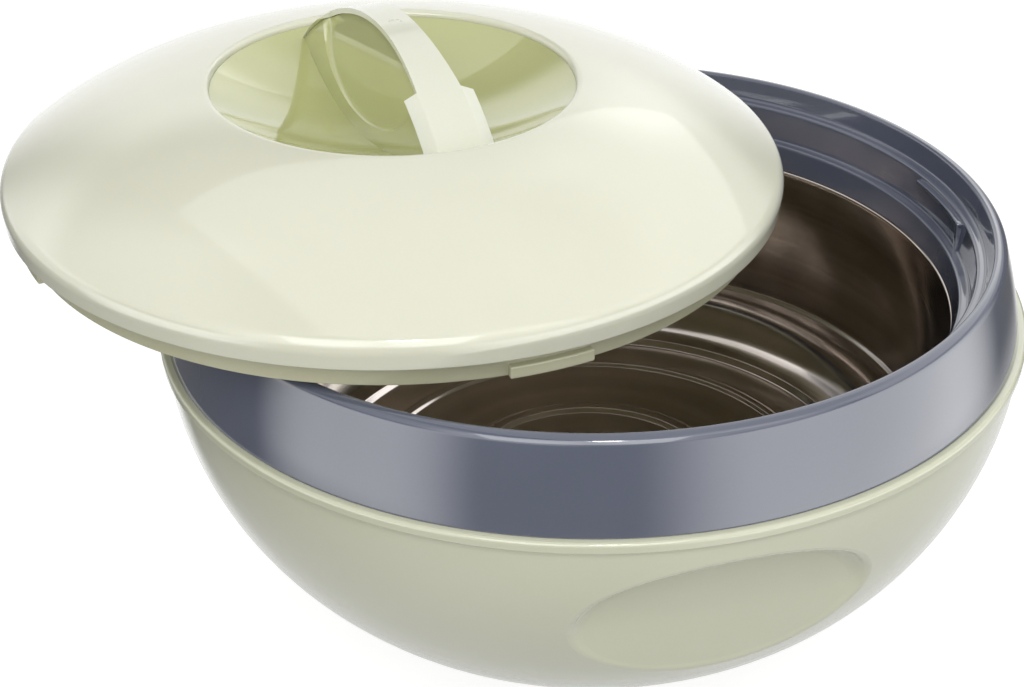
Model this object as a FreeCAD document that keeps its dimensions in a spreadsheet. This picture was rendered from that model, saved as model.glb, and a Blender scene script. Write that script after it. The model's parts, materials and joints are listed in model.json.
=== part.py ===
"""Insulated chapati casserole: a bowl with a steel pot, and a loose bayonet lid.

The bowl stands on its foot ring on z = 0, and its axis is the Z axis. The two finger grips of the
bowl lie on the Y axis. The lid is built about its own axis, with z = 0 at the plane where its top
shell meets its lower moulding and the handle along X, and is then laid across the bowl's rim.
"""
import FreeCAD
import Part
import os
import re

import Sketcher
from FreeCAD import Placement, Rotation, Vector

# ---------------------------------------------------------------------------------------------
# Driving sizes, in millimetres and degrees
# ---------------------------------------------------------------------------------------------
SIZES = [
    # Bowl, outer shell
    ("belt_level", 101.0, "height of the joint between the shell and the collar"),
    ("lip_proud", 2.2, "raised lip round the top of the shell, outside the collar's band"),
    ("lip_depth", 3.0, "height of that lip"),
    ("lip_rounding", 1.1, "rounding of the lip's top"),
    ("side_bow", 102.0, "radius of the shell's side, seen in section"),
    ("side_proud", 1.2, "widest part of the side, outside the collar's band"),
    ("side_level", 102.9, "height of that widest part, where the side would be upright"),
    ("shell_wall", 2.6, "wall of the outer shell"),
    ("foot_radius", 58.0, "outside of the foot ring"),
    ("foot_draft", 1.0, "how far the foot ring narrows downwards"),
    ("foot_width", 5.5, "width of the foot ring"),
    ("foot_rounding", 1.0, "rounding of the foot ring's lower edges"),
    ("base_rise", 5.0, "level of the underside inside the foot ring"),
    ("filling_radius", 8.0, "hole in the base through which the foam is filled"),
    # Bowl, finger grips
    ("grip_half_width", 43.0, "half the width of a grip"),
    ("grip_half_height", 26.0, "half the height of a grip"),
    ("grip_level", 65.8, "height of a grip's centre"),
    ("grip_reach", 110.7, "distance of a grip's floor from the bowl's axis"),
    ("grip_lean", 9.0, "lean of a grip's floor, degrees"),
    ("grip_rounding", 6.0, "rounding round a grip's floor"),
    ("grip_edge_rounding", 2.0, "rounding of a grip's outer edge"),
    # Collar
    ("rim_height", 25.5, "rim of the bowl above the belt"),
    ("rim_width", 3.1, "width of the rim, from its mouth to its outer corner"),
    ("rim_rounding", 2.8, "rounding of the rim's outer corner"),
    ("rim_lean", 1.8, "how far the wall below the rim leans in"),
    ("edge_rounding", 1.0, "rounding of the collar's other visible corners"),
    ("fine_rounding", 0.4, "rounding of the small corners of ribs, lips and edges"),
    ("band_spread", 6.1, "how far the foot of the collar's outer band stands out of the rim"),
    ("band_bow", 170.0, "radius of the collar's outer band, seen in section"),
    ("seat_depth", 6.6, "lid seat below the rim"),
    ("seat_width", 2.8, "width of the lid seat"),
    ("pass_depth", 10.2, "wall between the lid seat and the lower ledge"),
    ("pass_lean", 1.0, "how far that wall leans in"),
    ("ledge_width", 3.1, "width of the lower ledge"),
    ("throat_play", 0.35, "collar's lower edge outside the pot's wall"),
    ("throat_lean", 1.35, "how far the wall above that edge leans out"),
    ("throat_depth", 24.8, "collar's lower edge below the rim"),
    ("collar_wall", 2.0, "wall of the collar"),
    ("spigot_depth", 5.6, "how far the collar reaches into the shell"),
    ("spigot_gap", 0.3, "clearance of the collar in the shell"),
    ("bore_relief", 1.0, "how far the shell's bore runs on below the collar"),
    ("cut_margin", 1.0, "how far a cut runs past what it cuts"),
    # Bayonet ribs of the collar
    ("rib_drop", 1.3, "top of a rib below the lid seat"),
    ("rib_height", 1.6, "height of a rib"),
    ("rib_reach", 1.8, "how far a rib stands out of the wall"),
    ("rib_sweep", 16.5, "length of a rib, degrees"),
    ("rib_start", -11.7, "where the first rib starts, degrees"),
    ("stop_sweep", 1.1, "thickness of the stop at a rib's end, degrees"),
    ("lug_count", 4, "ribs on the collar, and tabs on the lid"),
    # Steel pot
    ("pot_radius", 105.4, "inside of the pot below its flange"),
    ("pot_taper", 2.6, "how much narrower the pot is above its step"),
    ("pot_floor", 35.5, "level of the pot's floor"),
    ("steel", 0.8, "sheet of the pot"),
    ("flange_width", 4.0, "flange round the pot's mouth"),
    ("flange_bend", 0.2, "bend under the flange"),
    ("flange_gap", 0.1, "between the pot's flange and the collar"),
    ("pot_step_level", 19.3, "step in the pot's wall, above its floor"),
    ("pot_step", 1.3, "width of that step"),
    ("step_rise", 1.0, "height of that step"),
    ("pot_corner", 17.5, "radius of the pot's bottom corner, and its width"),
    ("floor_step", 1.8, "step round the flat floor"),
    ("outer_ring", 70.0, "radius of the outer bead in the floor"),
    ("inner_ring", 41.3, "radius of the inner bead in the floor"),
    ("ring_height", 0.9, "height of the beads"),
    ("ring_half_width", 2.1, "half the width of the outer bead"),
    ("inner_half_width", 3.2, "half the width of the inner bead"),
    # Foam and base plug
    ("foam_gap", 0.3, "foam to the walls round it"),
    ("plug_head", 12.0, "radius of the base plug's head"),
    ("plug_thickness", 1.3, "thickness of that head"),
    ("plug_fit", 0.1, "radial clearance of the plug in its hole"),
    ("plug_length", 5.0, "stem of the base plug"),
    ("plug_bevel", 0.8, "bevel at the stem's end"),
    # Lid shell
    ("lid_play", 0.7, "edge of the lid's top shell inside the bowl's mouth"),
    ("lid_draft", 0.6, "how far the lid's edge leans out"),
    ("lid_edge", 6.9, "height of the lid's edge"),
    ("lid_edge_rounding", 5.0, "rounding of the lid's edge"),
    ("dome_bow", 124.0, "radius of the dome, seen in section"),
    ("dish_radius", 52.7, "opening in the dome, which the dish fills"),
    ("dish_level", 31.4, "height of the dome round that opening"),
    ("dish_lip", 2.1, "how far the dish lies below the dome's lip"),
    ("dish_floor", 16.0, "height of the dish's floor"),
    ("dish_rounding", 1.8, "rounding of the dome's lip"),
    ("dish_flange", 5.0, "flange of the dish below the dome"),
    ("lid_wall", 2.4, "wall of the lid's mouldings"),
    ("lid_fit", 0.1, "clearance between the lid's mouldings"),
    # Handle
    ("arch_radius", 69.5, "top of the handle strap"),
    ("arch_level", 48.9, "height of the strap's top"),
    ("strap_thickness", 1.6, "thickness of the strap"),
    ("strap_half_width", 6.5, "half the width of the strap, where its feet start"),
    ("strap_bow", 380.0, "radius of the strap's sides, seen from above"),
    ("strap_sweep", 102.0, "arc of the strap before it meets the dish, degrees"),
    ("boot_half_width", 10.3, "half the width of the strap's feet"),
    ("boot_start", 33.6, "where the strap's feet start, out from the lid's axis"),
    ("boot_slope", 1.5, "how far a foot's sides slope down"),
    ("gate_radius", 1.8, "small round moulding mark on the strap's top"),
    ("gate_shift", 2.5, "that mark from the strap's middle, towards its near foot"),
    ("gate_depth", 0.3, "depth of that mark"),
    ("web_half_top", 6.3, "half the width of the web under the strap"),
    ("web_half_foot", 11.6, "half the width of the web at the dish's floor"),
    ("scoop_half_width", 35.0, "half the width of a finger scoop"),
    ("scoop_half_height", 20.5, "half the height of a finger scoop"),
    ("scoop_level", 39.5, "height of a scoop's centre"),
    ("scoop_reach", 5.6, "distance of a scoop's floor from the handle's middle plane"),
    ("scoop_lean", 14.1, "lean of a scoop's floor, degrees"),
    ("scoop_rounding", 2.6, "rounding round a scoop's floor"),
    # Lid liner
    ("skirt_play", 1.4, "skirt of the lid's lower moulding inside the ribs' tips"),
    ("skirt_depth", 7.4, "how far the skirt hangs below the lid's edge"),
    ("liner_fit", 0.3, "liner to the lid's top shell"),
    ("plate_level", 3.4, "underside of the lid below the edge"),
    ("plate_rise", 1.2, "how far the middle of the underside rises"),
    ("liner_wall", 2.0, "thickness of the lid's underside"),
    ("flange_rise", 2.5, "rim of the liner inside the top shell"),
    ("tab_reach", 2.1, "how far a bayonet tab stands out of the skirt"),
    ("tab_height", 3.5, "height of a bayonet tab"),
    ("tab_sweep", 12.4, "length of a bayonet tab, degrees"),
    ("tab_turn", -0.7, "first tab's middle from the handle's line, degrees"),
    # Lid as it lies across the rim
    ("lid_across", -51.4, "lid's axis from the bowl's, along X"),
    ("lid_along", 27.6, "lid's axis from the bowl's, along Y"),
    ("lid_tilt", 1.3, "lean of the lid towards +X, degrees"),
    ("lid_lean", 0.23, "lean of the lid towards -Y, degrees"),
    ("lid_rest", 1.35, "bottom of the lid's skirt above the bowl's rim, at the lid's axis"),
    ("lid_bearing", -80.8, "direction of the handle, degrees"),
]

COLUMN_NAME = "A"
COLUMN_VALUE = "B"
COLUMN_MEANING = "C"

doc = FreeCAD.newDocument("chapati_casserole")
sheet = doc.addObject("Spreadsheet::Sheet", "Sizes")
for row, (name, value, meaning) in enumerate(SIZES, start=1):
    sheet.set(f"{COLUMN_NAME}{row}", name)
    sheet.set(f"{COLUMN_VALUE}{row}", str(value))
    sheet.set(f"{COLUMN_MEANING}{row}", meaning)
    sheet.setAlias(f"{COLUMN_VALUE}{row}", name)
doc.recompute()

WORDS = {name for name, value, meaning in SIZES}


# ---------------------------------------------------------------------------------------------
# Helpers: expressions, sketches and features
# ---------------------------------------------------------------------------------------------
def bound(rule):
    """Return a rule written with the sheet's words as a FreeCAD expression."""
    def qualified(match):
        word = match.group(0)
        return f"Sizes.{word}" if word in WORDS else word

    return re.sub(r"[a-z][a-z_]+", qualified, rule)


def number(rule):
    """Return what a rule gives with the sheet's present values."""
    return float(sheet.evalExpression(bound(rule)))


def bind(item, prop, rule):
    """Bind a property of an object to a rule."""
    item.setExpression(prop, bound(rule))


def new_body(name):
    """Add an empty PartDesign body."""
    body = doc.addObject("PartDesign::Body", name)
    body.Label = name
    return body


def new_sketch(body, name, role="XZ_Plane"):
    """Add a sketch on one of the body's own origin planes."""
    sketch = body.newObject("Sketcher::SketchObject", name)
    plane = next(f for f in body.Origin.OriginFeatures if f.Role == role)
    sketch.AttachmentSupport = [(plane, "")]
    sketch.MapMode = "FlatFace"
    return sketch


def arc_between(start, end, radius, side):
    """Return the arc of a radius from start to end; side 1 bulges to the left of the way there."""
    chord = end - start
    half = chord.Length / 2
    left = Vector(-chord.y, chord.x, 0).normalize()
    middle = (start + end) / 2
    centre = middle - left * side * (radius ** 2 - half ** 2) ** 0.5
    crown = centre + left * side * radius
    return Part.Arc(start, crown, end) if side < 0 else Part.Arc(end, crown, start)


def draw(body, name, corners, role="XZ_Plane"):
    """Draw a closed outline through corners given by rules, and constrain it to them.

    Each corner is (x, y) or (x, y, how), where how may hold "round", the rounding's radius, and
    "bow", the radius of the arc to the next corner with its side.
    """
    sketch = new_sketch(body, name, role)
    ends = [Vector(number(c[0]), number(c[1]), 0) for c in corners]
    ways = [c[2] if len(c) > 2 else {} for c in corners]
    count = len(corners)
    turned = []
    for i in range(count):
        start, end = ends[i], ends[(i + 1) % count]
        if "bow" in ways[i]:
            rule, side = ways[i]["bow"]
            sketch.addGeometry(arc_between(start, end, number(rule), side), False)
            turned.append(side > 0)
        else:
            sketch.addGeometry(Part.LineSegment(start, end), False)
            turned.append(False)
    first = [2 if flip else 1 for flip in turned]
    last = [1 if flip else 2 for flip in turned]
    for i in range(count):
        following = (i + 1) % count
        sketch.addConstraint(Sketcher.Constraint("Coincident", i, last[i], following, first[following]))
    for i, corner in enumerate(corners):
        for kind, rule, value in (("DistanceX", corner[0], ends[i].x), ("DistanceY", corner[1], ends[i].y)):
            index = sketch.addConstraint(Sketcher.Constraint(kind, -1, 1, i, first[i], value))
            bind(sketch, f"Constraints[{index}]", rule)
        if "bow" in ways[i]:
            rule = ways[i]["bow"][0]
            index = sketch.addConstraint(Sketcher.Constraint("Radius", i, number(rule)))
            bind(sketch, f"Constraints[{index}]", rule)
    for i, way in enumerate(ways):
        if "round" in way:
            before = (i - 1) % count
            round_corner(sketch, before, i, ends[i], way["round"])
            if "bow" in way or "bow" in ways[before]:
                hold_corner(sketch, before, i, ends[i], corners[i])
    return sketch


def hold_corner(sketch, before, after, corner, rules):
    """Hold the point where a rounded arc and its neighbour would meet at the corner's rules."""
    point = sketch.addGeometry(Part.Point(corner), True)
    for edge in (before, after):
        sketch.addConstraint(Sketcher.Constraint("PointOnObject", point, 1, edge))
    for kind, rule, value in (("DistanceX", rules[0], corner.x), ("DistanceY", rules[1], corner.y)):
        index = sketch.addConstraint(Sketcher.Constraint(kind, -1, 1, point, 1, value))
        bind(sketch, f"Constraints[{index}]", rule)


def round_corner(sketch, before, after, corner, rule):
    """Round the corner between two edges of a sketch, and bind the rounding's radius."""
    radius = number(rule)
    picks = []
    for edge in (before, after):
        curve = sketch.Geometry[edge]
        far = max((curve.StartPoint, curve.EndPoint), key=lambda point: (point - corner).Length)
        pick = corner + (far - corner) * min(0.5, radius / (far - corner).Length)
        if isinstance(curve, Part.ArcOfCircle):
            pick = curve.Center + (pick - curve.Center).normalize() * curve.Radius
        picks.append(pick)
    known = len(sketch.Geometry)
    sketch.fillet(before, after, picks[0], picks[1], radius, True, True)
    for index in range(known, len(sketch.Geometry)):
        if isinstance(sketch.Geometry[index], Part.ArcOfCircle):
            place = sketch.addConstraint(Sketcher.Constraint("Radius", index, radius))
            bind(sketch, f"Constraints[{place}]", rule)


def turned_body(name, corners, angle=None):
    """Make a body by turning an outline about the Z axis."""
    body = new_body(name)
    sketch = draw(body, name + "_outline", corners)
    turn(body, sketch, name + "_turned", angle)
    return body


def turn(body, sketch, name, sweep=None, midplane=False, axis="V_Axis"):
    """Add the turned form of a sketch to its body, all round or through a bound angle."""
    feature = body.newObject("PartDesign::Revolution", name)
    feature.Profile = sketch
    feature.ReferenceAxis = (sketch, [axis])
    feature.Angle = 360
    if sweep:
        bind(feature, "Angle", sweep)
        feature.Midplane = midplane
    body.Tip = feature
    return feature


def ring_of(body, name, features, count):
    """Repeat features round the body's Z axis."""
    pattern = body.newObject("PartDesign::PolarPattern", name)
    pattern.Originals = features
    pattern.Axis = (features[0].Profile[0], ["V_Axis"])
    pattern.Angle = 360
    bind(pattern, "Occurrences", count)
    body.Tip = pattern
    return pattern


def pad(body, sketch, name, length):
    """Pad a sketch equally to both sides of its plane."""
    feature = body.newObject("PartDesign::Pad", name)
    feature.Profile = sketch
    feature.Midplane = True
    bind(feature, "Length", length)
    body.Tip = feature
    return feature


def pocket(body, sketch, name, depth, midplane):
    """Cut a sketch out of its body, and make sure that the cut takes something away."""
    doc.recompute()
    before = body.Shape.Volume
    feature = body.newObject("PartDesign::Pocket", name)
    feature.Profile = sketch
    feature.Midplane = midplane
    bind(feature, "Length", depth)
    body.Tip = feature
    doc.recompute()
    if body.Shape.Volume >= before:
        raise RuntimeError(f"{name} cuts nothing")
    return feature


def boolean(kind, name, base, tool):
    """Join two objects with a Part boolean."""
    feature = doc.addObject(f"Part::{kind}", name)
    feature.Label = name
    feature.Base = base
    feature.Tool = tool
    return feature


# ---------------------------------------------------------------------------------------------
# Levels and radii that several pieces share, as rules in the sheet's words
# ---------------------------------------------------------------------------------------------
THROAT_RADIUS = "(pot_radius + throat_play)"
LEDGE_INSIDE = f"({THROAT_RADIUS} + throat_lean)"
LEDGE_OUTSIDE = f"({LEDGE_INSIDE} + ledge_width)"
PASS_RADIUS = f"({LEDGE_OUTSIDE} + pass_lean)"
SEAT_OUTSIDE = f"({PASS_RADIUS} + seat_width)"
RIM_MOUTH = f"({SEAT_OUTSIDE} + rim_lean)"
RIM_OUTSIDE = f"({RIM_MOUTH} + rim_width)"
BELT_RADIUS = f"({RIM_OUTSIDE} + band_spread)"
LIP_RADIUS = f"({BELT_RADIUS} + lip_proud)"
SIDE_CENTRE = f"({BELT_RADIUS} + side_proud - side_bow)"


def side_radius(offset, level):
    """Return the radius of the shell's side at a level, moved inwards by an offset."""
    return f"({SIDE_CENTRE} + sqrt((side_bow - ({offset}))^2 - ({level} - side_level)^2))"


def side_arc(offset, direction):
    """Return the bow of the shell's side, moved inwards by an offset."""
    return {"bow": (f"side_bow - ({offset})", direction)}


LIP_FOOT = "(belt_level - lip_depth)"
SPIGOT_FOOT = "(belt_level - spigot_depth)"
BORE_FOOT = "(belt_level - spigot_depth - bore_relief)"
BORE = side_radius("shell_wall", BORE_FOOT)
SPIGOT = f"({BORE} - spigot_gap)"
BASE_TOP = "(base_rise + shell_wall)"
RIM = "(belt_level + rim_height)"
SEAT = f"({RIM} - seat_depth)"
LEDGE = f"({SEAT} - pass_depth)"
THROAT = f"({RIM} - throat_depth)"
RIM_UNDER = f"({RIM} - 1.5*collar_wall)"
FLANGE_TOP = f"({THROAT} - flange_gap)"
POT_STEP = "(pot_floor + pot_step_level)"
POT_WAIST = "(pot_radius - pot_taper)"
POT_CORNER = "(pot_radius - pot_taper - pot_step)"
FLOOR_RADIUS = f"({POT_CORNER} - pot_corner)"
LID_LEVEL = f"({RIM} + lid_rest + skirt_depth)"
RIB_TIP = f"({PASS_RADIUS} - rib_reach)"
SKIRT_RADIUS = f"({RIB_TIP} - skirt_play)"
LID_RADIUS = f"({SEAT_OUTSIDE} - lid_play)"


# ---------------------------------------------------------------------------------------------
# Bowl: outer shell with lip, foot ring and two finger grips
# ---------------------------------------------------------------------------------------------
FOOT_TOP = f"(side_level - sqrt(side_bow^2 - (foot_radius - {SIDE_CENTRE})^2))"

bowl_outside = turned_body("bowl_outside", [
    ("0", "base_rise"),
    ("0", "belt_level"),
    (LIP_RADIUS, "belt_level", {"round": "lip_rounding"}),
    (LIP_RADIUS, LIP_FOOT, {"round": "fine_rounding"}),
    (side_radius("0", LIP_FOOT), LIP_FOOT, side_arc("0", 1)),
    ("foot_radius", FOOT_TOP),
    ("foot_radius - foot_draft", "0", {"round": "foot_rounding"}),
    ("foot_radius - foot_width", "0", {"round": "foot_rounding"}),
    ("foot_radius - foot_width", "base_rise"),
])

bowl_hollow = turned_body("bowl_hollow", [
    ("0", "-cut_margin"),
    ("filling_radius", "-cut_margin"),
    ("filling_radius", BASE_TOP),
    (side_radius("shell_wall", BASE_TOP), BASE_TOP, side_arc("shell_wall", -1)),
    (BORE, BORE_FOOT),
    (BORE, "belt_level + cut_margin"),
    ("0", "belt_level + cut_margin"),
])


def oval_block(name, half_width, half_height, level, reach, lean, rounding, length):
    """Make a block with an oval face, soft round its leaning floor, for the side that faces -Y."""
    body = new_body(name)
    sketch = new_sketch(body, name + "_oval")
    sketch.AttachmentOffset = Placement(Vector(0, number(level), number(reach)),
                                        Rotation(Vector(1, 0, 0), number(lean)))
    bind(sketch, "AttachmentOffset.Base.y", level)
    bind(sketch, "AttachmentOffset.Base.z", reach)
    bind(sketch, "AttachmentOffset.Rotation.Angle", lean)
    sketch.addGeometry(Part.Ellipse(Vector(0, 0, 0), number(half_width), number(half_height)), False)
    sketch.exposeInternalGeometry(0)
    sketch.addConstraint(Sketcher.Constraint("Coincident", 0, 3, -1, 1))
    sketch.addConstraint(Sketcher.Constraint("PointOnObject", 1, 1, -1))
    for edge, rule in ((1, f"2*({half_width})"), (2, f"2*({half_height})")):
        index = sketch.addConstraint(Sketcher.Constraint("Distance", edge, number(rule)))
        bind(sketch, f"Constraints[{index}]", rule)
    block = body.newObject("PartDesign::Pad", name + "_block")
    block.Profile = sketch
    bind(block, "Length", length)
    body.Tip = block
    doc.recompute()
    edges = block.Shape.Edges
    closed = [i for i, edge in enumerate(edges) if edge.isClosed()]
    floor = min(closed, key=lambda i: abs(edges[i].CenterOfMass.y))
    soft = body.newObject("PartDesign::Fillet", name + "_soft")
    soft.Base = (block, [f"Edge{floor + 1}"])
    bind(soft, "Radius", rounding)
    body.Tip = soft
    return body


def both_sides(name, body):
    """Return a block joined with its mirror image on the +Y side."""
    mirrored = doc.addObject("Part::Mirroring", name + "_far")
    mirrored.Source = body
    mirrored.Normal = (0, 1, 0)
    return boolean("Fuse", name, body, mirrored)


def grip_cutter(name, growth):
    """Make the pair of blocks that the grips are cut with, enlarged by a growth."""
    block = oval_block(name + "_near", f"grip_half_width + {growth}", f"grip_half_height + {growth}",
                       "grip_level", f"grip_reach - {growth}", "grip_lean", f"grip_rounding + {growth}",
                       "grip_half_width")
    return both_sides(name, block)


grips = grip_cutter("grips", "0")
bosses = grip_cutter("bosses", "shell_wall")
shell_with_grips = boolean("Cut", "shell_with_grips", bowl_outside, grips)
doc.recompute()


def outline_of_grips(shape):
    """Return the names of the edges where the grips cut the shell's side."""
    names = []
    for index, edge in enumerate(shape.Edges, start=1):
        faces = shape.ancestorsOfType(edge, Part.Face)
        on_side = any(isinstance(face.Surface, Part.SurfaceOfRevolution) for face in faces)
        if on_side and not isinstance(edge.Curve, Part.Circle):
            names.append(f"Edge{index}")
    return names


soft_shell = new_body("soft_shell")
soft_shell.BaseFeature = shell_with_grips
soft_grips = soft_shell.newObject("PartDesign::Fillet", "soft_grips")
soft_grips.Base = (soft_shell.Group[0], outline_of_grips(shell_with_grips.Shape))
bind(soft_grips, "Radius", "grip_edge_rounding")
soft_shell.Tip = soft_grips
hollow_with_bosses = boolean("Cut", "hollow_with_bosses", bowl_hollow, bosses)
outer_shell = boolean("Cut", "outer_shell", soft_shell, hollow_with_bosses)

# ---------------------------------------------------------------------------------------------
# Bowl: collar with lid seat, lower ledge and bayonet ribs
# ---------------------------------------------------------------------------------------------
collar = turned_body("collar", [
    (BELT_RADIUS, "belt_level", {"bow": ("band_bow", -1)}),
    (RIM_OUTSIDE, RIM, {"round": "rim_rounding"}),
    (RIM_MOUTH, RIM, {"round": "edge_rounding"}),
    (SEAT_OUTSIDE, SEAT, {"round": "edge_rounding"}),
    (PASS_RADIUS, SEAT, {"round": "edge_rounding"}),
    (LEDGE_OUTSIDE, LEDGE, {"round": "edge_rounding"}),
    (LEDGE_INSIDE, LEDGE, {"round": "edge_rounding"}),
    (THROAT_RADIUS, THROAT),
    (f"{THROAT_RADIUS} + collar_wall", THROAT),
    (f"{LEDGE_INSIDE} + collar_wall", f"{LEDGE} - collar_wall"),
    (f"{LEDGE_OUTSIDE} + collar_wall", f"{LEDGE} - collar_wall"),
    (f"{PASS_RADIUS} + collar_wall", f"{SEAT} - collar_wall"),
    (f"{SEAT_OUTSIDE} + collar_wall", f"{SEAT} - collar_wall"),
    (f"{RIM_MOUTH} + rim_width/3", RIM_UNDER),
    (f"{RIM_OUTSIDE} - rim_width/3", RIM_UNDER),
    (f"{BELT_RADIUS} - 1.2*collar_wall", "belt_level + collar_wall"),
    (f"{SPIGOT} - collar_wall", "belt_level"),
    (f"{SPIGOT} - collar_wall", SPIGOT_FOOT),
    (SPIGOT, SPIGOT_FOOT, {"round": "fine_rounding"}),
    (SPIGOT, "belt_level"),
])

RIB_TOP = f"{SEAT} - rib_drop"
RIB_ROOT = f"{PASS_RADIUS} + collar_wall/2"
rib_outline = draw(collar, "rib_outline", [
    (RIB_TIP, RIB_TOP, {"round": "fine_rounding"}),
    (RIB_TIP, f"{RIB_TOP} - rib_height", {"round": "fine_rounding"}),
    (RIB_ROOT, f"{RIB_TOP} - rib_height"),
    (RIB_ROOT, RIB_TOP),
])
rib = turn(collar, rib_outline, "rib", "rib_sweep")
stop_outline = draw(collar, "stop_outline", [
    (RIB_TIP, f"{RIB_TOP} - rib_height/2"),
    (RIB_TIP, f"{LEDGE} - collar_wall/2"),
    (RIB_ROOT, f"{LEDGE} - collar_wall/2"),
    (RIB_ROOT, f"{RIB_TOP} - rib_height/2"),
])
stop = turn(collar, stop_outline, "stop", "stop_sweep")
ring_of(collar, "ribs", [rib, stop], "lug_count")
collar.Placement = Placement(Vector(0, 0, 0), Rotation(Vector(0, 0, 1), number("rib_start")))

# ---------------------------------------------------------------------------------------------
# Bowl: steel pot, foam and base plug
# ---------------------------------------------------------------------------------------------
FLOOR_STEP_TOP = "pot_floor + floor_step"


def floor_bead(radius, half_width, drop, outwards):
    """Return the corners of a pressed bead in the pot's floor, drop below its inner face."""
    corners = [
        (f"{radius} - {half_width}", f"pot_floor - {drop}"),
        (f"{radius} - {half_width}/2", f"pot_floor + ring_height - {drop}"),
        (f"{radius} + {half_width}/2", f"pot_floor + ring_height - {drop}"),
        (f"{radius} + {half_width}", f"pot_floor - {drop}"),
    ]
    return corners if outwards else corners[::-1]


inner_pot = turned_body("inner_pot", [
    ("0", "pot_floor"),
    ("0", "pot_floor - steel"),
    *floor_bead("inner_ring", "inner_half_width", "steel", True),
    *floor_bead("outer_ring", "ring_half_width", "steel", True),
    (f"{FLOOR_RADIUS} + steel/2", "pot_floor - steel"),
    (f"{FLOOR_RADIUS} + floor_step + steel/2", f"{FLOOR_STEP_TOP} - steel",
     {"bow": ("pot_corner + steel", -1)}),
    (f"{POT_CORNER} + steel", f"{POT_STEP} - step_rise - steel/2"),
    (f"{POT_WAIST} + steel", f"{POT_STEP} - steel/2"),
    ("pot_radius + steel", f"{FLANGE_TOP} - steel", {"round": "flange_bend"}),
    ("pot_radius + flange_width", f"{FLANGE_TOP} - steel"),
    ("pot_radius + flange_width", FLANGE_TOP),
    ("pot_radius", FLANGE_TOP, {"round": "flange_bend + steel"}),
    (POT_WAIST, POT_STEP),
    (POT_CORNER, f"{POT_STEP} - step_rise", {"bow": ("pot_corner", 1)}),
    (f"{FLOOR_RADIUS} + floor_step", FLOOR_STEP_TOP),
    (FLOOR_RADIUS, "pot_floor"),
    *floor_bead("outer_ring", "ring_half_width", "0", False),
    *floor_bead("inner_ring", "inner_half_width", "0", False),
])

FOAM_FLANGE = "(pot_radius + flange_width + foam_gap)"
FOAM_SPIGOT = f"({SPIGOT} - collar_wall - foam_gap)"
FOAM_SHOULDER = f"({SPIGOT_FOOT} - collar_wall)"
WALL_GAP = "(collar_wall + foam_gap)"
foam_block = turned_body("foam_block", [
    ("filling_radius", f"{BASE_TOP} + plug_length"),
    ("0", f"{BASE_TOP} + plug_length"),
    ("0", "pot_floor - steel - foam_gap"),
    (f"{FLOOR_RADIUS} + steel", "pot_floor - steel - foam_gap"),
    (f"{FLOOR_RADIUS} + floor_step + steel + foam_gap", f"{FLOOR_STEP_TOP} - steel - foam_gap",
     {"bow": ("pot_corner + steel + foam_gap", -1)}),
    (f"{POT_CORNER} + steel + foam_gap", f"{POT_STEP} - step_rise - steel/2 - foam_gap"),
    (f"{POT_WAIST} + steel + foam_gap", f"{POT_STEP} - steel/2 - foam_gap"),
    ("pot_radius + steel + foam_gap", f"{FLANGE_TOP} - steel - foam_gap"),
    (FOAM_FLANGE, f"{FLANGE_TOP} - steel - foam_gap"),
    (FOAM_FLANGE, f"{LEDGE} - {WALL_GAP}"),
    (f"{LEDGE_OUTSIDE} + {WALL_GAP}", f"{LEDGE} - {WALL_GAP}"),
    (f"{PASS_RADIUS} + {WALL_GAP}", f"{SEAT} - {WALL_GAP}"),
    (f"{SEAT_OUTSIDE} + {WALL_GAP}", f"{SEAT} - {WALL_GAP}"),
    (f"{RIM_OUTSIDE} - rim_width/2", f"{SEAT} - {WALL_GAP}"),
    (FOAM_SPIGOT, "belt_level"),
    (FOAM_SPIGOT, FOAM_SHOULDER),
    (side_radius("shell_wall + foam_gap", FOAM_SHOULDER), FOAM_SHOULDER,
     side_arc("shell_wall + foam_gap", 1)),
    (side_radius("shell_wall + foam_gap", f"({BASE_TOP} + foam_gap)"), f"{BASE_TOP} + foam_gap"),
    ("plug_head", f"{BASE_TOP} + foam_gap"),
])
foam_bosses = grip_cutter("foam_bosses", "(shell_wall + foam_gap)")
bowl_foam = boolean("Cut", "bowl_foam", foam_block, foam_bosses)

base_plug = turned_body("base_plug", [
    ("0", "base_rise - plug_thickness"),
    ("0", "base_rise + plug_length"),
    ("filling_radius - plug_fit - plug_bevel", "base_rise + plug_length"),
    ("filling_radius - plug_fit", "base_rise + plug_length - plug_bevel"),
    ("filling_radius - plug_fit", "base_rise"),
    ("plug_head", "base_rise"),
    ("plug_head", "base_rise - plug_thickness", {"round": "fine_rounding"}),
])

# ---------------------------------------------------------------------------------------------
# Lid, built about its own axis: domed top shell
# ---------------------------------------------------------------------------------------------
LID_INSIDE = f"({LID_RADIUS} + lid_draft - lid_wall)"
LID_SHOULDER = "(lid_edge - 0.4*lid_wall)"

lid_shell = turned_body("lid_shell", [
    (LID_RADIUS, "0", {"round": "fine_rounding"}),
    (f"{LID_RADIUS} + lid_draft", "lid_edge", {"round": "lid_edge_rounding", "bow": ("dome_bow", -1)}),
    ("dish_radius", "dish_level", {"round": "dish_rounding"}),
    ("dish_radius", "dish_level - lid_wall", {"bow": ("dome_bow - lid_wall", 1)}),
    (LID_INSIDE, LID_SHOULDER),
    (f"{LID_RADIUS} - lid_wall", "0"),
])

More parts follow.
